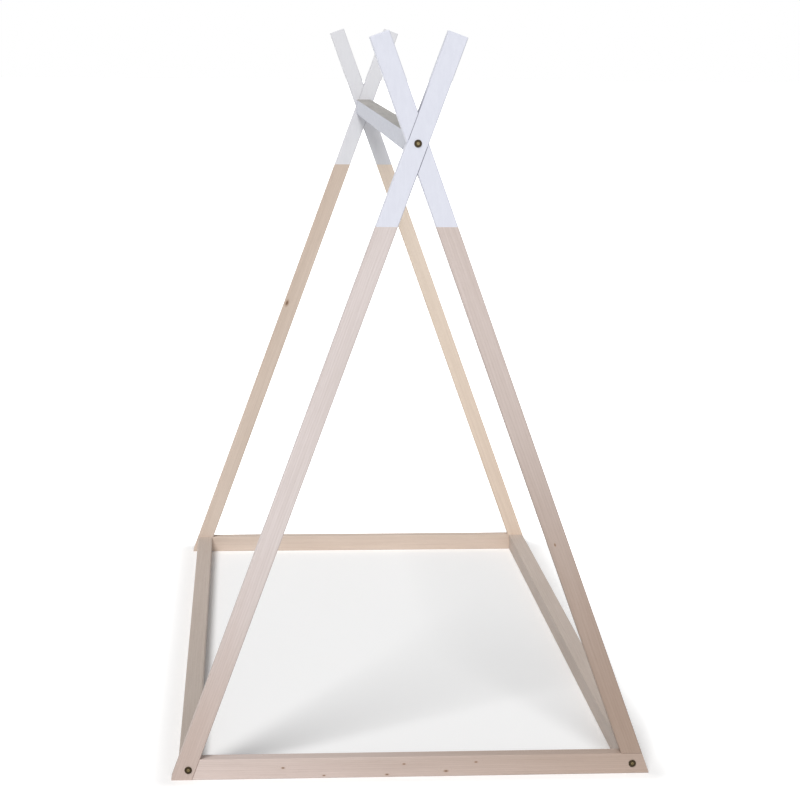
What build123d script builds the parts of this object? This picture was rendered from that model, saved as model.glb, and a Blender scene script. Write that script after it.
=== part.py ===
"""Teepee bed for a child: two crossed-pole end frames, two side rails and a ridge bar, all bolted.

Millimetres. +Z is up and the floor is z = 0. The bed's length runs along Y with its front end
towards -Y, and its width along X. The origin is on the floor, at the middle of the bed.

The back end frame is the front one turned half round about Z, so every front piece is made once
and placed twice.
"""
from build123d import *
import os
from math import ceil, cos, pi, radians, sin, tan

# Room for the mattress
mattress_length = 2000.0
mattress_width = 900.0
mattress_play = 10.0          # free space on each side of the mattress

# Timber
pole_width = 43.0             # face of a pole, square to its length
frame_thickness = 34.0        # poles and end rails, measured along Y
rail_height = 45.0
side_rail_width = 42.0
ridge_width = 43.0
ridge_height = 43.0
arris_bevel = 1.5             # along every long edge
end_bevel = 1.2               # bevel round the sawn top of a pole
toe_trim = 1.0                # how far each sharp toe is cut back, measured along X

# Shape of an end frame
pole_lean = 20.0              # degrees from upright
pole_reach = 237.0            # along a pole, from the crossing to its top
lap_play = 0.2                # gap at each shoulder of the half lap

# Connector bolts and their barrel nuts
bolt_diameter = 6.0
bolt_hole = 7.0
bolt_tip = 5.0                # how far a bolt reaches past its barrel nut
bolt_tip_bevel = 0.8
bolt_well = 4.0               # empty hole past the tip of a bolt
head_diameter = 16.0
head_height = 2.2
head_rim_bevel = 1.0
socket_width = 4.0            # across the flats of the hexagon
socket_depth = 3.0
nut_diameter = 10.0
nut_length = 20.0
nut_setback = 36.0            # from the end of a rail to the middle of its barrel nut
nut_play = 0.2                # round a barrel nut, all the way
thread_play = 0.05            # round a bolt's shank in its barrel nut
slot_width = 1.6
slot_depth = 1.5

# Wooden dowels
dowel_diameter = 8.0
dowel_play = 0.05             # round a dowel
dowel_bevel = 0.8
dowel_wall = 3.0              # least wood between a dowel and the bolt hole or dowel beside it
dowel_depth = 18.0            # in an end rail, a side rail or the ridge bar
foot_dowel_depth = 16.0       # in the end rail under a standing pole
glue_room = 1.0               # empty hole past each end of a dowel

# Dowels, barrel nuts and their holes repeat so often that they are drawn with flats
flat_width = 2.6              # most that one flat measures round the bar

# Worked out from the sizes above
lean = radians(pole_lean)
half_inner = mattress_width / 2 + mattress_play
half_length_inner = mattress_length / 2 + mattress_play
rail_outer = half_inner + side_rail_width
foot_outer = rail_outer + rail_height * tan(lean)   # a pole's outer edge, carried down to the floor
pole_across = pole_width / cos(lean)                # a pole measured level
foot_middle = foot_outer - pole_across / 2
crossing_height = foot_middle / tan(lean)
pole_below = crossing_height / cos(lean) + pole_width
frame_front = -(half_length_inner + frame_thickness)
frame_middle = -(half_length_inner + frame_thickness / 2)
frame_back = -half_length_inner
side_rail_middle = half_inner + side_rail_width / 2
corner_bolt_height = rail_height / 2
bolt_past_nut = nut_setback + nut_diameter / 2 + bolt_tip
bolt_length = frame_thickness + bolt_past_nut
dowel_spread = bolt_hole / 2 + dowel_wall + dowel_diameter / 2
locating_depth = frame_thickness / 2 - dowel_diameter / 2 - dowel_wall


def bar_along_z(width, depth, length):
    """A planed bar with bevelled long edges, standing on z = 0."""
    section = Rectangle(width, depth)
    return extrude(chamfer(section.vertices(), arris_bevel), length)


def cylinder_along_y(x, z, diameter, y_from, y_to):
    middle = (y_from + y_to) / 2
    return Pos(x, middle, z) * Rot(90, 0, 0) * Cylinder(diameter / 2, y_to - y_from)


def prism(diameter, play, length):
    """A bar with flats, or its hole, which is larger all round by its play. Centred, along Z."""
    flats = 2 * ceil(pi * diameter / flat_width / 2)
    return Pos(0, 0, -length / 2) * extrude(RegularPolygon(diameter / 2 + play, flats), length)


def dowel_peg(length):
    """A dowel with bevelled ends, centred, along Z."""
    body = prism(dowel_diameter, 0, length)
    ends = body.faces().filter_by(Axis.Z)
    return chamfer(ends.edges(), dowel_bevel)


def dowel_and_hole(place, depth_down, depth_up):
    """A dowel along the Z axis of a place, reaching down and up from it, and the hole that takes it."""
    length = depth_down + depth_up
    middle = (depth_up - depth_down) / 2
    hole = prism(dowel_diameter, dowel_play, length + 2 * glue_room)
    place = place * Pos(0, 0, middle)
    return place * dowel_peg(length), place * hole


# End frame, made at the front end

def pole_place(side):
    """Crossing point of the front frame, with local Z up along the pole whose foot is on that side."""
    return Pos(0, frame_middle, crossing_height) * Rot(0, -side * pole_lean, 0)


def lap_cutter(side, facing):
    """What one pole cuts out of the other: half the thickness, on the front (-1) or back (+1) face."""
    length = 2 * pole_width / tan(lean)
    slab = Box(pole_width + 2 * lap_play, frame_thickness, length)
    return pole_place(side) * Pos(0, facing * frame_thickness / 2, 0) * slab


def pole(side, foot_height, lap_facing):
    """A pole sawn level at foot_height, its top sawn square, with its half of the crossing cut away."""
    timber = bar_along_z(pole_width, frame_thickness, pole_below + pole_reach)
    top = timber.faces().sort_by(Axis.Z)[-1]
    timber = chamfer(top.edges(), end_bevel)
    timber = pole_place(side) * Pos(0, 0, -pole_below) * timber
    timber = split(timber, bisect_by=Plane.XY.offset(foot_height), keep=Keep.TOP)
    return timber - lap_cutter(-side, lap_facing)


def slant_plane(x_at_floor, side, facing):
    """The plane of a pole's edge that meets the floor at x, with its normal towards +X or -X."""
    normal = (facing * cos(lean), 0, facing * side * sin(lean))
    return Plane(origin=(x_at_floor, frame_middle, 0), z_dir=normal)


def end_rail():
    """Rail between the feet: it butts against the left pole and runs out under the right one."""
    length = 2 * foot_outer + pole_width
    timber = bar_along_z(rail_height, frame_thickness, length)
    timber = Pos(0, frame_middle, rail_height / 2) * Rot(0, 90, 0) * Pos(0, 0, -length / 2) * timber
    timber = split(timber, bisect_by=slant_plane(pole_across - foot_outer, -1, 1), keep=Keep.TOP)
    return split(timber, bisect_by=slant_plane(foot_outer, 1, -1), keep=Keep.TOP)


def trim_toe(timber, side):
    """Cut the sharp toe back to an upright face."""
    toe = Box(toe_trim, 2 * frame_thickness, 2 * rail_height)
    return timber - Pos(side * (foot_outer - toe_trim / 2), frame_middle, 0) * toe


def butt_dowels():
    """Level dowels, above and below the corner bolt, from the end rail into the left pole."""
    pairs = []
    for step in (-1, 1):
        height = corner_bolt_height + step * dowel_spread
        seam = pole_across - foot_outer + height * tan(lean)
        place = Pos(seam, frame_middle, height) * Rot(0, 90, 0)
        pairs.append(dowel_and_hole(place, dowel_depth, dowel_depth))
    return pairs


def foot_dowels():
    """Dowels along the right pole, down into the end rail that it stands on."""
    seam = rail_outer - pole_across / 2
    pairs = []
    for step in (-1, 1):
        across = step * pole_across / 4
        place = Pos(seam + across, frame_middle, rail_height) * Rot(0, -pole_lean, 0)
        pairs.append(dowel_and_hole(place, foot_dowel_depth, dowel_depth))
    return pairs


def locating_dowels(x, z):
    """Dowels above and below a bolt, from the back of the end frame into the end of a rail."""
    pairs = []
    for step in (-1, 1):
        place = Pos(x, frame_back, z + step * dowel_spread) * Rot(-90, 0, 0)
        pairs.append(dowel_and_hole(place, locating_depth, dowel_depth))
    return pairs


# Fasteners, made for the front end

def bolt(x, z):
    """Flat-headed connector bolt with a hexagon socket, its head against the front of the frame."""
    head = Cylinder(head_diameter / 2, head_height, align=(Align.CENTER, Align.CENTER, Align.MIN))
    head = chamfer(head.edges().sort_by(Axis.Z)[-1], head_rim_bevel)
    shank = Cylinder(bolt_diameter / 2, bolt_length, align=(Align.CENTER, Align.CENTER, Align.MAX))
    shank = chamfer(shank.edges().sort_by(Axis.Z)[0], bolt_tip_bevel)
    hexagon = RegularPolygon(socket_width / 2, 6, major_radius=False)
    socket = extrude(Pos(0, 0, head_height) * hexagon, -socket_depth)
    return Pos(x, frame_front, z) * Rot(90, 0, 0) * (head + shank - socket)


def barrel_nut(x, z):
    """Cross dowel of metal, upright in the rail, with the bolt through its middle."""
    body = prism(nut_diameter, 0, nut_length)
    thread = Rot(90, 0, 0) * Cylinder(bolt_diameter / 2 + thread_play, 2 * nut_diameter)
    slot = Pos(0, 0, -nut_length / 2) * Box(2 * nut_diameter, slot_width, 2 * slot_depth)
    return Pos(x, frame_back + nut_setback, z) * (body - thread - slot)


def frame_bolt_hole(x, z):
    return cylinder_along_y(x, z, bolt_hole, frame_front - frame_thickness, frame_back)


def rail_end_holes(x, z, underside):
    """Bolt hole in the end of a rail and the hole for the barrel nut, bored from below."""
    bolt_end = frame_back + bolt_past_nut + bolt_well
    bolt_bore = cylinder_along_y(x, z, bolt_hole, frame_back, bolt_end)
    nut_top = z + nut_length / 2 + nut_play
    nut_bore = prism(nut_diameter, nut_play, nut_top - underside)
    return bolt_bore + Pos(x, frame_back + nut_setback, (underside + nut_top) / 2) * nut_bore


def bored(timber, holes):
    for hole in holes:
        timber = timber - hole
    return timber


def holes_of(pairs):
    return [hole for _, hole in pairs]


def group_of(pairs):
    return Compound(children=[dowel for dowel, _ in pairs])


def half_turn(shape):
    """The same piece at the other end of the bed."""
    return Rot(0, 0, 180) * shape


nodes = {}
butt_pairs = butt_dowels()
foot_pairs = foot_dowels()
corner_pairs = {side: locating_dowels(side * side_rail_middle, corner_bolt_height) for side in (-1, 1)}
ridge_pairs = locating_dowels(0, crossing_height)

# An end frame is bored as one piece once it is joined
frame_holes = [frame_bolt_hole(x, corner_bolt_height) for x in (-side_rail_middle, side_rail_middle)]
frame_holes.append(frame_bolt_hole(0, crossing_height))
frame_holes += holes_of(butt_pairs + foot_pairs + corner_pairs[-1] + corner_pairs[1] + ridge_pairs)

# The pole that runs to the floor keeps its front half at the crossing, the standing one its back half
front_pieces = {
    "left_pole": bored(trim_toe(pole(-1, 0, 1), -1), frame_holes),
    "right_pole": bored(pole(1, rail_height, -1), frame_holes),
    "end_rail": bored(trim_toe(end_rail(), 1), frame_holes),
    "left_corner_bolt": bolt(-side_rail_middle, corner_bolt_height),
    "right_corner_bolt": bolt(side_rail_middle, corner_bolt_height),
    "ridge_bolt": bolt(0, crossing_height),
    "left_barrel_nut": barrel_nut(-side_rail_middle, corner_bolt_height),
    "right_barrel_nut": barrel_nut(side_rail_middle, corner_bolt_height),
    "ridge_barrel_nut": barrel_nut(0, crossing_height),
    "left_locating_dowels": group_of(corner_pairs[-1]),
    "right_locating_dowels": group_of(corner_pairs[1]),
    "ridge_dowels": group_of(ridge_pairs),
    "butt_joint_dowels": group_of(butt_pairs),
    "standing_pole_dowels": group_of(foot_pairs),
}
other_side = {"left": "right", "right": "left"}
for name, shape in front_pieces.items():
    nodes["front_" + name] = shape
    first, rest = name.split("_", 1)
    nodes["back_" + other_side.get(first, first) + "_" + rest] = half_turn(shape)


# Side rails and ridge bar

def long_bar(width, height, x, z):
    """A bar from end frame to end frame."""
    timber = bar_along_z(width, height, 2 * half_length_inner)
    return Pos(x, -half_length_inner, z) * Rot(-90, 0, 0) * timber


end_holes = {}
for side in (-1, 1):
    bolt_and_nut = rail_end_holes(side * side_rail_middle, corner_bolt_height, 0)
    end_holes[side] = [bolt_and_nut] + holes_of(corner_pairs[side])
for side, name in ((-1, "left_side_rail"), (1, "right_side_rail")):
    rail = long_bar(side_rail_width, rail_height, side * side_rail_middle, rail_height / 2)
    back_holes = [half_turn(hole) for hole in end_holes[-side]]
    nodes[name] = bored(rail, end_holes[side] + back_holes)

ridge_underside = crossing_height - ridge_height / 2
ridge_holes = [rail_end_holes(0, crossing_height, ridge_underside)] + holes_of(ridge_pairs)
ridge = long_bar(ridge_width, ridge_height, 0, crossing_height)
nodes["ridge_bar"] = bored(ridge, ridge_holes + [half_turn(hole) for hole in ridge_holes])

os.makedirs("parts", exist_ok=True)
for name, shape in nodes.items():
    export_step(shape, os.path.join("parts", name + ".step"))
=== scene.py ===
"""Teepee bed: materials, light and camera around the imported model.

Metres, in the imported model's frame: +Z is up, the floor is z = 0, and the front end frame is
towards -Y. The bed has no moving parts, so everything rides on the body "root".
"""
from math import atan2, cos, pi, radians, sin

import bpy
from mathutils import Euler, Matrix, Vector


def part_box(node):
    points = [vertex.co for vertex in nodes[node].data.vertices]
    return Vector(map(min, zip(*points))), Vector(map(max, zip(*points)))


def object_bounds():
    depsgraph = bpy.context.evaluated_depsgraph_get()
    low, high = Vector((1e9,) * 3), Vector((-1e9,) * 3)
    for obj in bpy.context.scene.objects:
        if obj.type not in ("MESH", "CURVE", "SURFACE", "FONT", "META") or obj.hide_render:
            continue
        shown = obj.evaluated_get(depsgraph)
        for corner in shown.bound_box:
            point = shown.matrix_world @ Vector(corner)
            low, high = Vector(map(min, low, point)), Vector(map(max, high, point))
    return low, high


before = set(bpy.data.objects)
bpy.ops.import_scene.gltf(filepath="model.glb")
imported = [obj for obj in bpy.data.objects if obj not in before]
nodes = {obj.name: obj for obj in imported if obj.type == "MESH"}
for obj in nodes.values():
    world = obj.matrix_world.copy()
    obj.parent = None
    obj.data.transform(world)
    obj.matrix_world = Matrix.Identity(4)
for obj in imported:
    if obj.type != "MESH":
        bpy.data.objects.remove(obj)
cad_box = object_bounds()

# Places
frame_high = cad_box[1]
ridge_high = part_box("ridge_bar")[1]
pole_lean = radians(20)
paint_line = 1.1894           # the poles are painted white above this height

# Colours, as sRGB from 0 to 255. A wood drifts from its first colour to its second, between two
# places along the piece, which are -1 at its low end and 1 at its high end. Each piece's wood tones
# also hold painted light and shade: a piece is made lighter or darker for the light that falls on it,
# the near poles darken towards the floor as painted shade, and the near rail darkens towards its right
near_left_wood_and_shading = ((193, 175, 166), (216, 205, 202), -1.0, -0.30)
near_right_wood_and_shading = ((163, 142, 128), (208, 194, 188), -0.9, 0.30)
near_rail_wood_and_shading = ((209, 193, 186), (178, 158, 145), -1.0, 1.0)
far_rail_wood_and_shading = ((210, 192, 178), (216, 197, 182), -1.0, 1.0)
far_left_wood_and_shading = ((208, 191, 177), (205, 187, 172), -1.0, 1.0)
far_right_wood_and_shading = ((224, 204, 186), (236, 219, 202), -1.0, 0.2)
left_side_wood_and_shading = ((184, 171, 161), (196, 181, 170), -1.0, 1.0)
right_side_wood_and_shading = ((202, 187, 176), (202, 187, 176), -1.0, 1.0)
ridge_wood = ((152, 150, 146), (172, 168, 164), -1.0, 1.0)
ridge_dark_patch_colour = (124, 123, 121)
dowel_wood = ((214, 190, 158), (210, 184, 150), -1.0, 1.0)
knot_heart_colour = (112, 84, 62)
knot_rim_colour = (158, 128, 104)
# The back poles' and the ridge's paint are greyer than the front poles' white as painted shade
near_paint = (220, 222, 233)
far_paint_and_shading = (218, 218, 222)
ridge_paint_and_shading = (184, 187, 200)
seam_shade_colour = (150, 151, 162)
bronze_colour = (66, 57, 42)
worn_and_highlight_bronze = (134, 121, 90)
zinc_colour = (170, 172, 176)
floor_colour = (240, 240, 240)

# Camera
focal_pixels = 2158.68
picture_pixels = 800
sensor_mm = 36.0
camera_place = Vector((-0.3552, -5.4909, 1.5966))
camera_yaw = 0.0724
camera_pitch = 0.1710
camera_roll = -0.0088


def linear(colour):
    """Blender's linear colour from an sRGB one."""
    parts = []
    for value in colour:
        part = value / 255
        parts.append(part / 12.92 if part <= 0.04045 else ((part + 0.055) / 1.055) ** 2.4)
    return (*parts, 1.0)


class Shader:
    """Adds nodes to a material's tree. A socket or a plain value can be passed for any input."""

    socket_names = {
        "base_color": "Base Color",
        "metallic": "Metallic",
        "roughness": "Roughness",
        "normal": "Normal",
        "specular_ior_level": "Specular IOR Level",
    }

    def __init__(self, name):
        self.material = bpy.data.materials.new(name)
        self.material.use_nodes = True
        self.tree = self.material.node_tree
        self.principled = self.tree.nodes["Principled BSDF"]
        self.output = self.tree.nodes["Material Output"]

    def put(self, socket, value):
        if isinstance(value, bpy.types.NodeSocket):
            self.tree.links.new(value, socket)
        elif value is not None:
            socket.default_value = value

    def add(self, kind, inputs=None, **settings):
        node = self.tree.nodes.new(kind)
        for key, value in settings.items():
            setattr(node, key, value)
        for key, value in (inputs or {}).items():
            self.put(node.inputs[key], value)
        return node

    def math(self, operation, *values):
        node = self.add("ShaderNodeMath", operation=operation)
        for socket, value in zip(node.inputs, values):
            self.put(socket, value)
        return node.outputs[0]

    def vector(self, operation, a, b=None):
        node = self.add("ShaderNodeVectorMath", operation=operation)
        self.put(node.inputs[0], a)
        self.put(node.inputs[1], b)
        return node.outputs["Value" if operation in ("LENGTH", "DISTANCE") else "Vector"]

    def span(self, value, low, high, to_low=0.0, to_high=1.0, smooth=False):
        kind = "SMOOTHSTEP" if smooth else "LINEAR"
        node = self.add("ShaderNodeMapRange", interpolation_type=kind)
        for index, item in enumerate((value, low, high, to_low, to_high)):
            self.put(node.inputs[index], item)
        return node.outputs[0]

    def noise(self, vector, scale, detail=2.0, roughness=0.5):
        node = self.add("ShaderNodeTexNoise")
        self.put(node.inputs["Vector"], vector)
        self.put(node.inputs["Scale"], scale)
        self.put(node.inputs["Detail"], detail)
        self.put(node.inputs["Roughness"], roughness)
        return node.outputs["Fac"]

    def mix(self, factor, a, b):
        """From colour a to colour b."""
        node = self.add("ShaderNodeMix", data_type="RGBA")
        for index, item in ((0, factor), (6, a), (7, b)):
            self.put(node.inputs[index], item)
        return node.outputs[2]

    def multiply(self, a, b):
        """Two colours, part by part."""
        node = self.add("ShaderNodeMix", data_type="RGBA", blend_type="MULTIPLY")
        for index, item in ((0, 1.0), (6, a), (7, b)):
            self.put(node.inputs[index], item)
        return node.outputs[2]

    def fade(self, factor, a, b):
        """From number a to number b."""
        node = self.add("ShaderNodeMix", data_type="FLOAT")
        for index, item in ((0, factor), (2, a), (3, b)):
            self.put(node.inputs[index], item)
        return node.outputs[0]

    def bump(self, height, distance, strength=1.0, normal=None):
        node = self.add("ShaderNodeBump")
        self.put(node.inputs["Height"], height)
        self.put(node.inputs["Distance"], distance)
        self.put(node.inputs["Strength"], strength)
        self.put(node.inputs["Normal"], normal)
        return node.outputs[0]

    def finish(self, **sockets):
        for key, value in sockets.items():
            self.put(self.principled.inputs[self.socket_names[key]], value)
        return self.material


# Wood

ring_spacing = 0.0034         # between growth rings
ring_wander = 0.012           # how far the heart of the tree drifts along a piece
streak_scale = (260.0, 260.0, 5.0)
fibre_scale = (1300.0, 1300.0, 34.0)
fleck_scale = (700.0, 700.0, 110.0)
drift_scale = (16.0, 16.0, 2.2)
grain_depth = 0.00022
ring_tone = -0.05             # what each layer of figure adds to a brightness of 1, from low to high
streak_tones = (0.035, -0.05)
fibre_tones = (0.03, -0.04)
fleck_tones = (0.0, -0.06)
drift_tones = (0.03, -0.05)
green_share = 1.12            # darker figure is also browner: green and blue fall faster than red
blue_share = 1.25
tone_wander = 0.5             # how far the drift moves the change of tone, in half lengths
wood_roughness_range = (0.58, 0.68)
knot_stretch = (1.0, 0.12, 0.5)
knot_reach = 3.4              # radii over which a knot bends the grain round it
knot_bend = 0.012

# Paint
paint_edge = 0.0006           # height over which the paint line fades
paint_wobble = 0.0008
film_scale = 170.0
film_relief = 0.4
film_roughness_range = (0.42, 0.50)
bare_top = 0.0016             # the ridge's bare wood begins this far below its top
dark_patch_scale = (34.0, 4.0, 34.0)
pole_width = 0.043
crossing_height = (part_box("ridge_bar")[0].z + ridge_high.z) / 2
seam_width = 0.0016           # the shadowed edge of a lapped pole
seam_reach = 0.13             # from the crossing, along a pole

# Metal
mark_scale = 2600.0
mark_depth = 0.00003
dark_share = 0.6              # brightness of the darker patches
bright_centre_radius = (0.0028, 0.0042)
bolt_roughness_range = (0.36, 0.50)


def turn_to_grain(direction):
    """Mapping angles that bring +Y, or a direction in the XZ plane, to +Z."""
    x, y, z = direction
    if y:
        return (pi / 2, 0.0, 0.0)
    return (0.0, -atan2(x, z), 0.0)


def grain_place(shader, centre, direction):
    """Object coordinates with their origin at a piece's middle and Z along its grain."""
    place = shader.add("ShaderNodeTexCoord").outputs["Object"]
    place = shader.vector("SUBTRACT", place, tuple(centre))
    turned = shader.add("ShaderNodeMapping", {"Vector": place, "Rotation": turn_to_grain(direction)})
    return turned.outputs["Vector"]


def knot_field(shader, place, knots):
    """1 at the heart of each knot, falling to 0 a few radii away."""
    total = 0.0
    for spot, radius in knots:
        offset = shader.vector("SUBTRACT", place, tuple(spot))
        offset = shader.vector("MULTIPLY", offset, tuple(part / radius for part in knot_stretch))
        near = shader.span(shader.vector("LENGTH", offset), 0.0, knot_reach, 1.0, 0.0)
        total = shader.math("MAXIMUM", near, total)
    return total


def shaded(colour, red, green, blue):
    """A linear colour with each part multiplied."""
    return (colour[0] * red, colour[1] * green, colour[2] * blue, 1.0)


def wood_shader(name, centre, direction, tones, half_length, seed, heart, knots=()):
    """Planed pale wood: faint rings round the tree's heart, streaks, fibres, flecks and knots."""
    shader = Shader(name)
    place = grain_place(shader, centre, direction)
    turn = Euler(turn_to_grain(direction)).to_matrix()
    knots = [(turn @ (Vector(knot[:3]) - Vector(centre)), knot[3]) for knot in knots]
    shifted = shader.vector("ADD", place, (seed * 3.1, seed * 1.7, seed * 5.3))
    drift = shader.noise(shader.vector("MULTIPLY", shifted, drift_scale), 1.0, 3.0)
    streaks = shader.noise(shader.vector("MULTIPLY", shifted, streak_scale), 1.0, 3.0, 0.6)
    fibres = shader.noise(shader.vector("MULTIPLY", shifted, fibre_scale), 1.0, 3.0, 0.6)
    flecks = shader.noise(shader.vector("MULTIPLY", shifted, fleck_scale), 1.0, 1.0)
    knot = knot_field(shader, place, knots)

    # Rings round the heart of the tree, which wanders along the piece and bends round the knots
    parts = shader.add("ShaderNodeSeparateXYZ", {"Vector": place})
    across = shader.add("ShaderNodeCombineXYZ", {"X": parts.outputs[0], "Y": parts.outputs[1]})
    radius = shader.vector("DISTANCE", across.outputs[0], (*heart, 0.0))
    radius = shader.math("MULTIPLY_ADD", drift, ring_wander, radius)
    if knots:
        radius = shader.math("MULTIPLY_ADD", knot, knot_bend, radius)
    phase = shader.math("FRACT", shader.math("DIVIDE", radius, ring_spacing))
    late = shader.span(phase, 0.2, 0.9, smooth=True)
    ring = shader.math("MULTIPLY", late, shader.span(phase, 0.9, 1.0, 1.0, 0.0, smooth=True))

    # Colour along the piece, then the figure on it
    along = shader.math("MULTIPLY_ADD", drift, half_length * tone_wander, parts.outputs[2])
    low_tone, high_tone, *ends = tones
    ends = [(end + tone_wander / 2) * half_length for end in ends]
    base = shader.mix(shader.span(along, *ends, smooth=True), linear(low_tone), linear(high_tone))
    tone = shader.math("MULTIPLY_ADD", ring, ring_tone, 1.0)
    tone = shader.math("ADD", tone, shader.span(streaks, 0.3, 0.7, *streak_tones))
    tone = shader.math("ADD", tone, shader.span(fibres, 0.3, 0.7, *fibre_tones))
    tone = shader.math("ADD", tone, shader.span(flecks, 0.66, 0.74, *fleck_tones))
    tone = shader.math("ADD", tone, shader.span(drift, 0.3, 0.7, *drift_tones))
    figure = shader.add("ShaderNodeCombineColor", {
        "Red": tone,
        "Green": shader.math("MULTIPLY_ADD", tone, green_share, 1.0 - green_share),
        "Blue": shader.math("MULTIPLY_ADD", tone, blue_share, 1.0 - blue_share),
    })
    wood = shader.multiply(base, figure.outputs[0])
    if knots:
        rim = shader.span(knot, 0.60, 0.80, 0.0, 0.6, smooth=True)
        wood = shader.mix(rim, wood, linear(knot_rim_colour))
        core = shader.span(knot, 0.78, 0.90, 0.0, 0.9, smooth=True)
        wood = shader.mix(core, wood, linear(knot_heart_colour))
    height = shader.math("MULTIPLY_ADD", ring, -0.3, fibres)
    return shader, wood, height


def wood_roughness(shader, height):
    """Rougher on the high fibres than in the rings."""
    return shader.span(height, 0.2, 0.7, *wood_roughness_range)


def wood_material(name, *facts):
    shader, wood, height = wood_shader(name, *facts)
    normal = shader.bump(height, grain_depth)
    return shader.finish(base_color=wood, roughness=wood_roughness(shader, height), normal=normal)


def paint_film(shader, place, along, colour):
    """Paint rolled on along a piece: its colour, roughness and height."""
    film = shader.noise(shader.vector("MULTIPLY", place, along), film_scale, 3.0)
    white = linear(colour)
    colour = shader.mix(shader.span(film, 0.35, 0.7), white, shaded(white, 0.965, 0.965, 0.97))
    rough = shader.span(film, 0.3, 0.7, *film_roughness_range)
    return colour, rough, shader.math("MULTIPLY", film, film_relief)


def seam_shadow(shader, way):
    """1 along the two edges of a lapped pole where they meet the pole that it crosses."""
    place = grain_place(shader, (0.0, 0.0, crossing_height), way)
    parts = shader.add("ShaderNodeSeparateXYZ", {"Vector": place})
    across = shader.math("ABSOLUTE", parts.outputs["X"])
    edge = shader.span(across, pole_width / 2 - seam_width, pole_width / 2 - seam_width * 0.4)
    handed = shader.math("MULTIPLY", parts.outputs["X"], parts.outputs["Z"])
    near = shader.span(shader.math("ABSOLUTE", parts.outputs["Z"]), seam_reach * 0.6, seam_reach, 1.0, 0.0)
    lapped = shader.math("LESS_THAN", shader.math("MULTIPLY", handed, way[0]), 0.0)
    return shader.math("MULTIPLY", shader.math("MULTIPLY", edge, near), lapped)


def painted_pole_material(name, lapped, white, centre, way, *facts):
    """Wood painted white above the paint line, with a shadowed seam where the pole is lapped."""
    shader, wood, height = wood_shader(name, centre, way, *facts)
    place = shader.add("ShaderNodeTexCoord").outputs["Object"]
    level = shader.add("ShaderNodeSeparateXYZ", {"Vector": place}).outputs["Z"]
    ragged = shader.noise(place, 420.0, 2.0)
    level = shader.math("MULTIPLY_ADD", ragged, -paint_wobble, level)
    painted = shader.span(level, paint_line - paint_edge, paint_line)
    paint, paint_rough, paint_height = paint_film(shader, place, (1.0, 1.0, 0.25), white)
    if lapped:
        # Painted shade along the lapped pole's edges near the crossing
        paint = shader.mix(seam_shadow(shader, way), paint, linear(seam_shade_colour))
    rough = shader.fade(painted, wood_roughness(shader, height), paint_rough)
    normal = shader.bump(shader.fade(painted, height, paint_height), grain_depth)
    return shader.finish(base_color=shader.mix(painted, wood, paint), roughness=rough, normal=normal)


def ridge_material(*facts):
    """Paint on the sides and underside, greyer than the poles' as painted shade, and bare wood in dark
    grey with darker patches on top.
    """
    shader, wood, height = wood_shader("ridge_paint_and_shading", *facts)
    place = shader.add("ShaderNodeTexCoord").outputs["Object"]
    level = shader.add("ShaderNodeSeparateXYZ", {"Vector": place}).outputs["Z"]
    bare = shader.span(level, ridge_high.z - bare_top, ridge_high.z - bare_top / 2)
    # The ridge's sides take a greyer paint as painted shade
    paint, paint_rough, paint_height = paint_film(shader, place, (1.0, 0.25, 1.0), ridge_paint_and_shading)
    # Darker patches across the bare top
    patch_noise = shader.noise(shader.vector("MULTIPLY", place, dark_patch_scale), 1.0, 3.0, 0.6)
    patched = shader.span(patch_noise, 0.42, 0.66, 0.0, 0.45, smooth=True)
    wood = shader.mix(patched, wood, linear(ridge_dark_patch_colour))
    rough = shader.fade(bare, paint_rough, wood_roughness(shader, height))
    normal = shader.bump(shader.fade(bare, paint_height, height), grain_depth)
    return shader.finish(base_color=shader.mix(bare, paint, wood), roughness=rough, normal=normal)


def metal_material(name, colour, roughness):
    """Plated steel with fine tool marks and darker patches."""
    shader = Shader(name)
    place = shader.add("ShaderNodeTexCoord").outputs["Object"]
    marks = shader.noise(place, mark_scale, 3.0, 0.6)
    patches = shader.noise(place, 420.0, 2.0)
    base = linear(colour)
    tone = shader.mix(shader.span(patches, 0.35, 0.65), base, shaded(base, *[dark_share] * 3))
    rough = shader.span(marks, 0.3, 0.7, roughness - 0.06, roughness + 0.08)
    normal = shader.bump(marks, mark_depth)
    return shader.finish(base_color=tone, metallic=1.0, roughness=rough, normal=normal)


def bolt_material(name, centre):
    """Antique bronze plating, brighter round the socket of a bolt whose axis is along Y: wear and a
    painted highlight.
    """
    shader = Shader(name)
    place = shader.add("ShaderNodeTexCoord").outputs["Object"]
    marks = shader.noise(place, mark_scale, 3.0, 0.6)
    patches = shader.noise(place, 500.0, 2.0)
    parts = shader.add("ShaderNodeSeparateXYZ", {"Vector": shader.vector("SUBTRACT", place, centre)})
    across = shader.add("ShaderNodeCombineXYZ", {"X": parts.outputs["X"], "Y": parts.outputs["Z"]})
    radius = shader.vector("LENGTH", across.outputs[0])
    radius = shader.math("MULTIPLY_ADD", patches, 0.0012, radius)
    base = linear(bronze_colour)
    tone = shader.mix(shader.span(marks, 0.35, 0.65), base, shaded(base, *[dark_share] * 3))
    # Brighter round the socket: wear and a painted highlight
    bright_centre = shader.span(radius, *bright_centre_radius, 1.0, 0.0, smooth=True)
    tone = shader.mix(bright_centre, tone, linear(worn_and_highlight_bronze))
    rough = shader.span(marks, 0.3, 0.7, *bolt_roughness_range)
    normal = shader.bump(marks, mark_depth)
    return shader.finish(base_color=tone, metallic=1.0, roughness=rough, normal=normal)


def set_material(name, material):
    data = nodes[name].data
    data.materials.clear()
    data.materials.append(material)


def middle(name):
    low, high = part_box(name)
    return (low + high) / 2


def half_length_of(name):
    """Half a piece's length, near enough for a slow drift of colour."""
    low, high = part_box(name)
    return (high - low).length / 2


def lean_direction(side):
    """Up along the pole whose foot is on that side (-1 left, +1 right)."""
    return (-side * sin(pole_lean), 0.0, cos(pole_lean))


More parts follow.
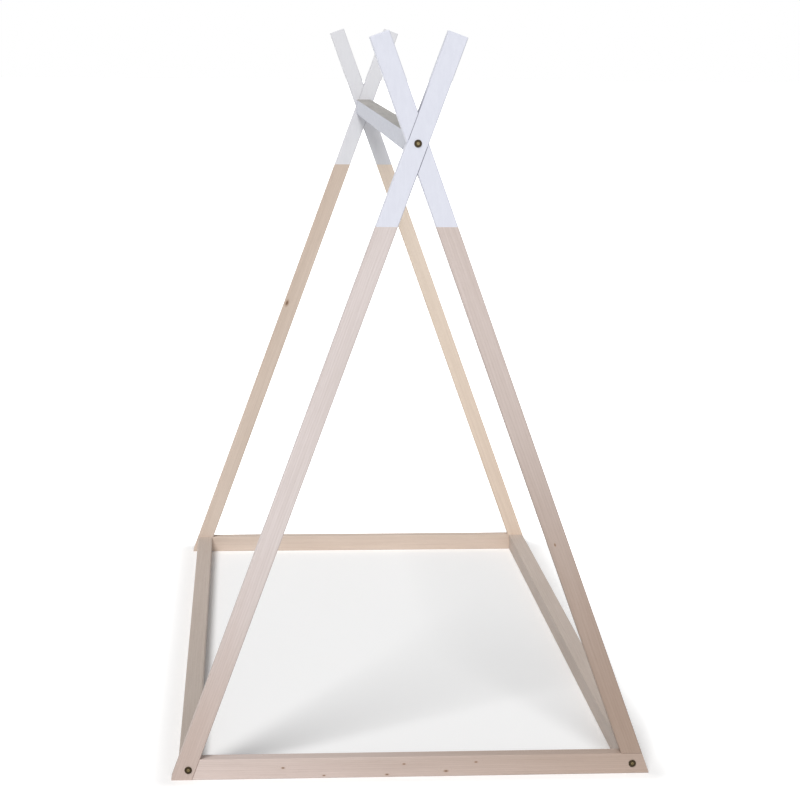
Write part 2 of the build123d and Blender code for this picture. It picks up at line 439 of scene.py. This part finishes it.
# Each wooden piece: its grain, its tones, a seed for its figure, where the tree's heart lies across
# it, and its knots, as a place on the piece and a radius
x_way = (1, 0, 0)
y_way = (0, 1, 0)
near_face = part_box("front_end_rail")[0].y
far_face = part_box("back_end_rail")[0].y
near_rail_knots = (
    (-0.0171, near_face, 0.0289, 0.0022),
    (0.0742, near_face, 0.0116, 0.0030),
    (0.1392, near_face, 0.0309, 0.0022),
    (-0.0537, near_face, 0.0058, 0.0024),
    (-0.2780, near_face, 0.0242, 0.0024),
    (-0.1898, near_face, 0.0058, 0.0020),
)
near_right_knots = (
    (0.3013, near_face, 0.5118, 0.0022),
    (0.4090, near_face, 0.3343, 0.0020),
)
far_left_knots = (
    (-0.2295, far_face, 0.7705, 0.0060),
)
pole_finishes = {
    "front_left_pole": (-1, near_left_wood_and_shading, 1.0, (0.055, 0.045), ()),
    "front_right_pole": (1, near_right_wood_and_shading, 2.0, (-0.050, 0.060), near_right_knots),
    "back_left_pole": (-1, far_left_wood_and_shading, 3.0, (0.045, -0.060), far_left_knots),
    "back_right_pole": (1, far_right_wood_and_shading, 4.0, (-0.060, -0.050), ()),
}
lapped_poles = ("front_left_pole", "back_right_pole")
rail_finishes = {
    "front_end_rail": (x_way, near_rail_wood_and_shading, 5.0, (0.060, 0.045), near_rail_knots),
    "back_end_rail": (x_way, far_rail_wood_and_shading, 6.0, (0.050, -0.060), ()),
    "left_side_rail": (y_way, left_side_wood_and_shading, 8.0, (0.055, 0.050), ()),
    "right_side_rail": (y_way, right_side_wood_and_shading, 9.0, (-0.055, 0.060), ()),
}
for name, (side, tones, *figure) in pole_finishes.items():
    way = lean_direction(side)
    # The back poles take a greyer white as painted shade
    white = near_paint if name.startswith("front") else far_paint_and_shading
    material = painted_pole_material(name, name in lapped_poles, white, middle(name), way,
                                     tones, half_length_of(name), *figure)
    set_material(name, material)
for name, (way, tones, *figure) in rail_finishes.items():
    set_material(name, wood_material(name, middle(name), way, tones, half_length_of(name), *figure))
set_material("ridge_bar", ridge_material(middle("ridge_bar"), y_way, ridge_wood,
                                         half_length_of("ridge_bar"), 7.0, (0.050, 0.040)))

dowels = wood_material("dowel_wood", (0, 0, 0), y_way, dowel_wood, 1.0, 11.0, (0.02, 0.02))
zinc = metal_material("zinc", zinc_colour, 0.36)
for name in nodes:
    if name.endswith("dowels"):
        set_material(name, dowels)
    elif name.endswith("barrel_nut"):
        set_material(name, zinc)
    elif name.endswith("bolt"):
        set_material(name, bolt_material(name, tuple(middle(name))))


# Floor, light and background

def seen_directly(tree):
    """1 for camera, glossy and transmission rays, which see the plain white background."""
    path = tree.nodes.new("ShaderNodeLightPath")
    seen = path.outputs["Is Camera Ray"]
    for name in ("Is Glossy Ray", "Is Transmission Ray"):
        either = tree.nodes.new("ShaderNodeMath")
        either.operation = "MAXIMUM"
        tree.links.new(seen, either.inputs[0])
        tree.links.new(path.outputs[name], either.inputs[1])
        seen = either.outputs[0]
    return seen


def make_world():
    world = bpy.data.worlds.new("studio")
    bpy.context.scene.world = world
    world.use_nodes = True
    tree = world.node_tree
    light = tree.nodes["Background"]
    light.inputs["Color"].default_value = (1.0, 1.0, 1.0, 1.0)
    light.inputs["Strength"].default_value = sky_strength
    white = tree.nodes.new("ShaderNodeBackground")
    white.inputs["Color"].default_value = (1.0, 1.0, 1.0, 1.0)
    white.inputs["Strength"].default_value = 1.0
    choose = tree.nodes.new("ShaderNodeMixShader")
    tree.links.new(seen_directly(tree), choose.inputs["Fac"])
    tree.links.new(light.outputs[0], choose.inputs[1])
    tree.links.new(white.outputs[0], choose.inputs[2])
    tree.links.new(choose.outputs[0], tree.nodes["World Output"].inputs["Surface"])


def make_floor():
    mesh = bpy.data.meshes.new("floor")
    far = floor_reach
    corners = [(-far, -far, 0), (far, -far, 0), (far, far, 0), (-far, far, 0)]
    mesh.from_pydata(corners, [], [(0, 1, 2, 3)])
    floor = bpy.data.objects.new("floor", mesh)
    bpy.context.scene.collection.objects.link(floor)
    shader = Shader("floor")
    plain = linear(floor_colour)
    shader.finish(base_color=plain, roughness=0.9, specular_ior_level=0.0)
    place = shader.vector("ABSOLUTE", shader.add("ShaderNodeTexCoord").outputs["Object"])
    outside = shader.vector("SUBTRACT", place, tuple(frame_high))
    outside = shader.vector("MAXIMUM", outside, (0.0, 0.0, 0.0))
    # Outside the bed's outline the camera sees a brighter floor: painted light over the shadows there
    share = shader.span(shader.vector("LENGTH", outside), 0.0, lift_reach, smooth=True)
    inside_floor = shaded(plain, *[inside_lift] * 3)
    outside_floor = shaded(plain, *[outside_lift] * 3)
    bright = shader.mix(share, inside_floor, outside_floor)
    bright_floor = shader.add("ShaderNodeBsdfDiffuse", {"Color": bright})
    choose = shader.add("ShaderNodeMixShader", {"Fac": seen_directly(shader.tree)})
    shader.put(choose.inputs[1], shader.principled.outputs[0])
    shader.put(choose.inputs[2], bright_floor.outputs[0])
    shader.put(shader.output.inputs["Surface"], choose.outputs[0])
    mesh.materials.append(shader.material)


def make_sun(name, azimuth, elevation, strength, softness):
    """A distant lamp. Azimuth 0 stands before the front end, and 90 at the bed's right."""
    towards = (
        -sin(radians(azimuth)) * cos(radians(elevation)),
        cos(radians(azimuth)) * cos(radians(elevation)),
        -sin(radians(elevation)),
    )
    light = bpy.data.lights.new(name, "SUN")
    light.energy = strength
    light.angle = radians(softness)
    sun = bpy.data.objects.new(name, light)
    bpy.context.scene.collection.objects.link(sun)
    sun.rotation_mode = "QUATERNION"
    sun.rotation_quaternion = Vector(towards).to_track_quat("-Z", "Y")


sky_strength = 0.25
floor_reach = 60.0
inside_lift = 1.22            # times brighter that the camera sees the floor under the bed
outside_lift = 2.4            # and away from it, where it paints light over the bed's shadows and washes them out
lift_reach = 0.16             # from the bed's outline to the full outside lift
make_world()
make_floor()
make_sun("key", -24, 50, 2.20, 22)
make_sun("front", 5, 14, 0.45, 30)


def make_camera():
    data = bpy.data.cameras.new("camera")
    data.sensor_width = sensor_mm
    data.lens = focal_pixels / picture_pixels * sensor_mm
    data.clip_start = 0.05
    data.clip_end = 300.0
    forward = Vector((
        sin(camera_yaw) * cos(camera_pitch),
        cos(camera_yaw) * cos(camera_pitch),
        -sin(camera_pitch),
    ))
    level = Vector((cos(camera_yaw), -sin(camera_yaw), 0.0))
    down = forward.cross(level)
    right = cos(camera_roll) * level + sin(camera_roll) * down
    down = cos(camera_roll) * down - sin(camera_roll) * level
    camera = bpy.data.objects.new("camera", data)
    bpy.context.scene.collection.objects.link(camera)
    turn = Matrix((right, -down, -forward)).transposed()
    camera.matrix_world = Matrix.Translation(camera_place) @ turn.to_4x4()
    bpy.context.scene.camera = camera


make_camera()
bpy.context.scene.view_settings.view_transform = "Standard"
